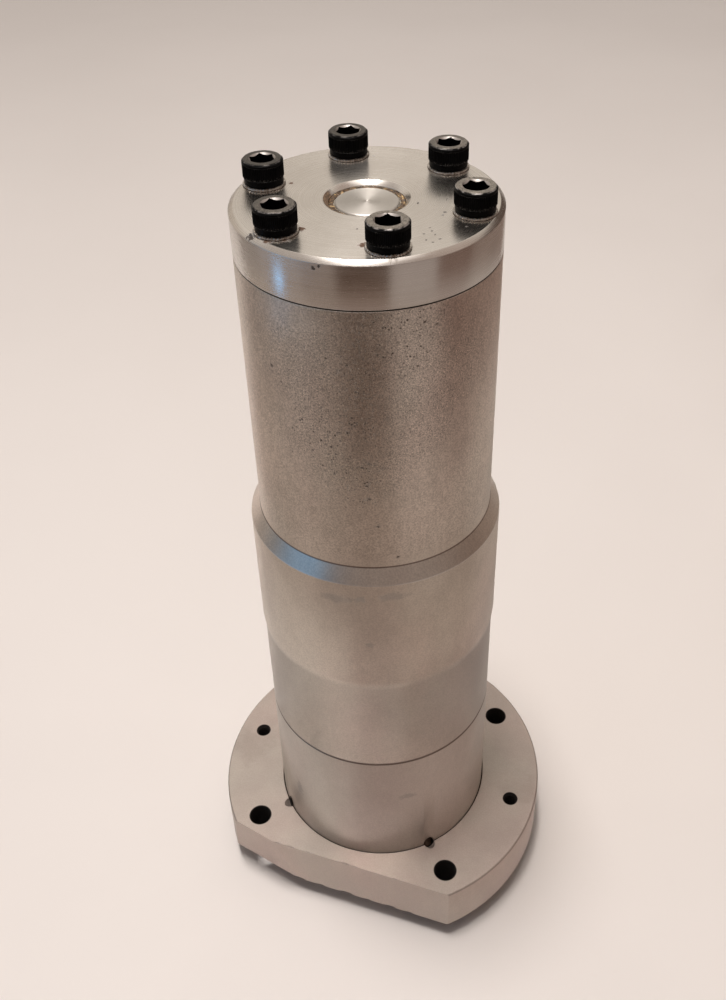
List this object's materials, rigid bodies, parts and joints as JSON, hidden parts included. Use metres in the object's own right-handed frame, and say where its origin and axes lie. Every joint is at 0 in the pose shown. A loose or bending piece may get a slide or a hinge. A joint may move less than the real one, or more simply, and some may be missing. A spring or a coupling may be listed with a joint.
{
  "type": "flanged hydraulic push cylinder",
  "caption": "Flanged, stepped steel tube: a cartridge push cylinder with a bolted end cap, a spring-returned plunger and a bottom port.",
  "frame": {"origin": "on the tube's axis, in the flange's upper face, which seats on the machine", "axes": "+Z along the tube towards the end cap; -Y towards the flange's flat"},
  "size_m": [0.1572, 0.1372, 0.3532],
  "materials": {
    "turned_steel": "turned and brushed",
    "barrel_steel": "matte ground, lightly pitted",
    "flange_steel": "matte machined",
    "black_oxide": "black oxide",
    "spring_steel": "oiled",
    "bright_steel": "ground",
    "bronze": "bearing bronze",
    "seal_rubber": "nitrile",
    "seal_plastic": "filled bearing plastic"
  },
  "bodies": {
    "housing": {"flange": "flange_steel", "base_sleeve": "barrel_steel", "lock_pins": "spring_steel", "base_head": "flange_steel", "base_seal": "seal_rubber", "barrel": "barrel_steel", "end_cap": "turned_steel", "guide_bushing": "bronze", "wiper_ring": "seal_plastic", "cap_screws": "black_oxide", "lock_washers": "black_oxide", "upper_spring_seat": "bright_steel", "return_spring": "spring_steel"},
    "plunger": {"plunger_rod": "bright_steel", "piston": "turned_steel", "piston_seal": "seal_rubber", "piston_backup_ring": "seal_plastic", "wear_ring": "seal_plastic", "rod_seal": "seal_rubber", "piston_nut": "black_oxide", "lower_spring_seat": "bright_steel", "stop_tube": "bright_steel"}
  },
  "joints": [
    {"name": "plunger_slide", "type": "slide", "parent": "housing", "child": "plunger", "axis": [0, 0, 1], "range_m": [0, 0.0381], "stiffness_N_per_m": 37200, "springref_m": -0.012, "deforming": ["return_spring"]}
  ]
}
